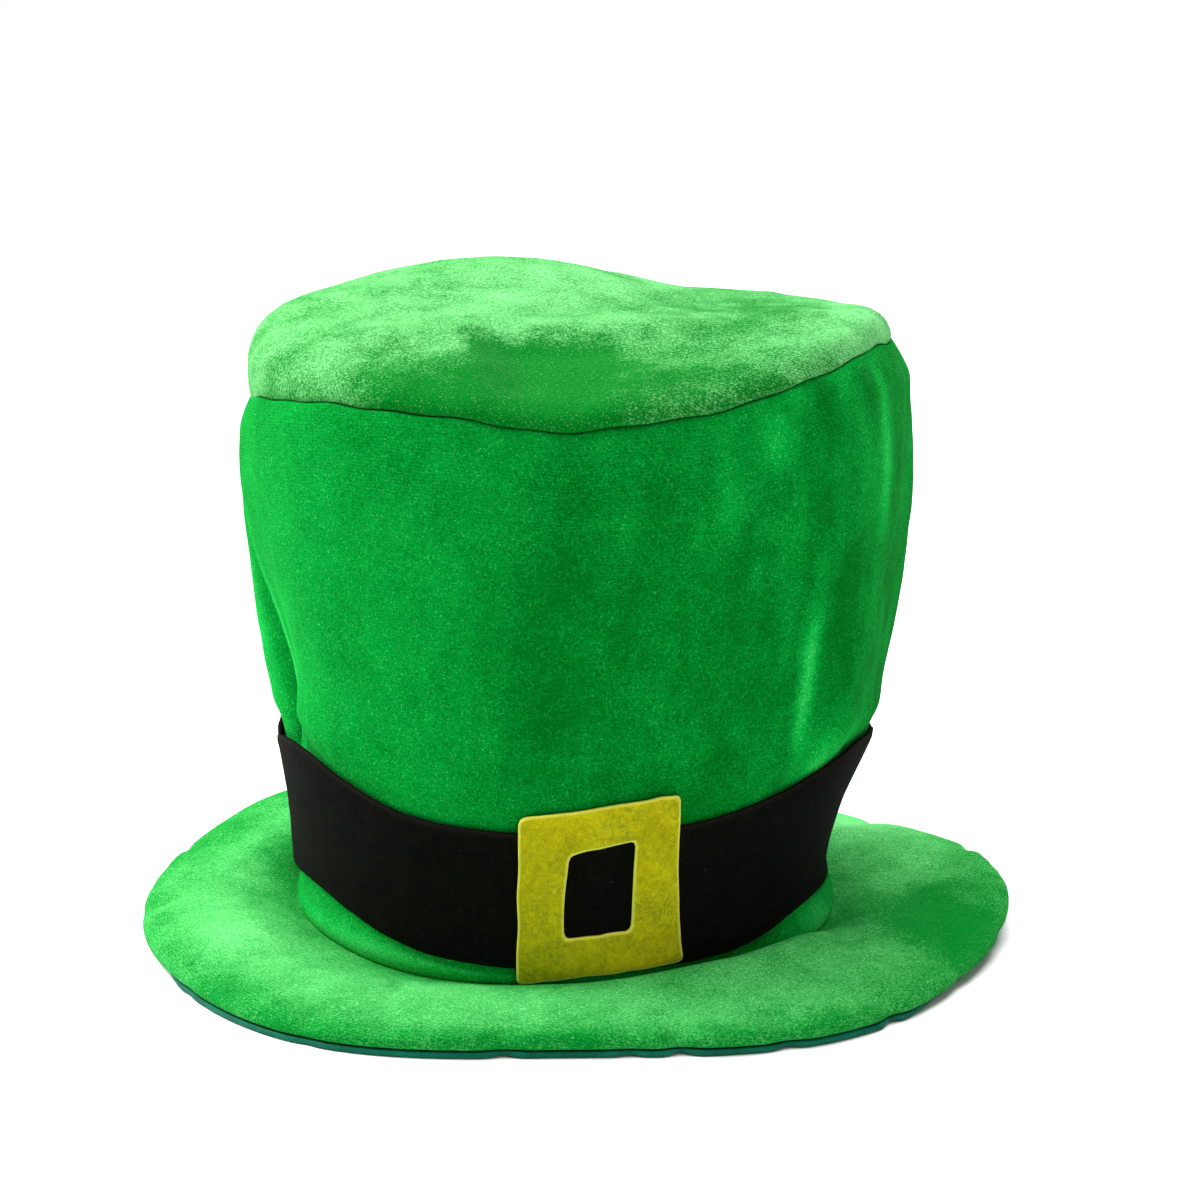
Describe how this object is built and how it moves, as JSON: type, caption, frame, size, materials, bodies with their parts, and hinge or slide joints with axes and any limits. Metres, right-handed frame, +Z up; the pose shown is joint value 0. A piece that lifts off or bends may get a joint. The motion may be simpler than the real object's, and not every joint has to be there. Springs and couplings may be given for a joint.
{
  "type": "costume top hat",
  "caption": "Tall green velour costume top hat with a flared crown, padded lined brim, black felt band and square olive buckle.",
  "frame": {"origin": "on the floor under the middle of the hat's box", "axes": "+Z up through the crown, -Y towards the buckle at the front, +X to the right as the picture shows it"},
  "size_m": [0.3068, 0.305, 0.2313],
  "materials": {
    "crown_side": "short-pile velour, deep green",
    "crown_tip": "short-pile velour, light green",
    "brim_upper": "short-pile velour over padding, green",
    "brim_lining": "woven lining, teal green",
    "hat_band": "felt, near black",
    "buckle": "felt, mottled olive yellow"
  },
  "bodies": {
    "root": {"crown_side": "crown_side", "crown_tip": "crown_tip", "brim_upper": "brim_upper", "brim_lining": "brim_lining", "hat_band": "hat_band", "buckle": "buckle"}
  },
  "joints": []
}
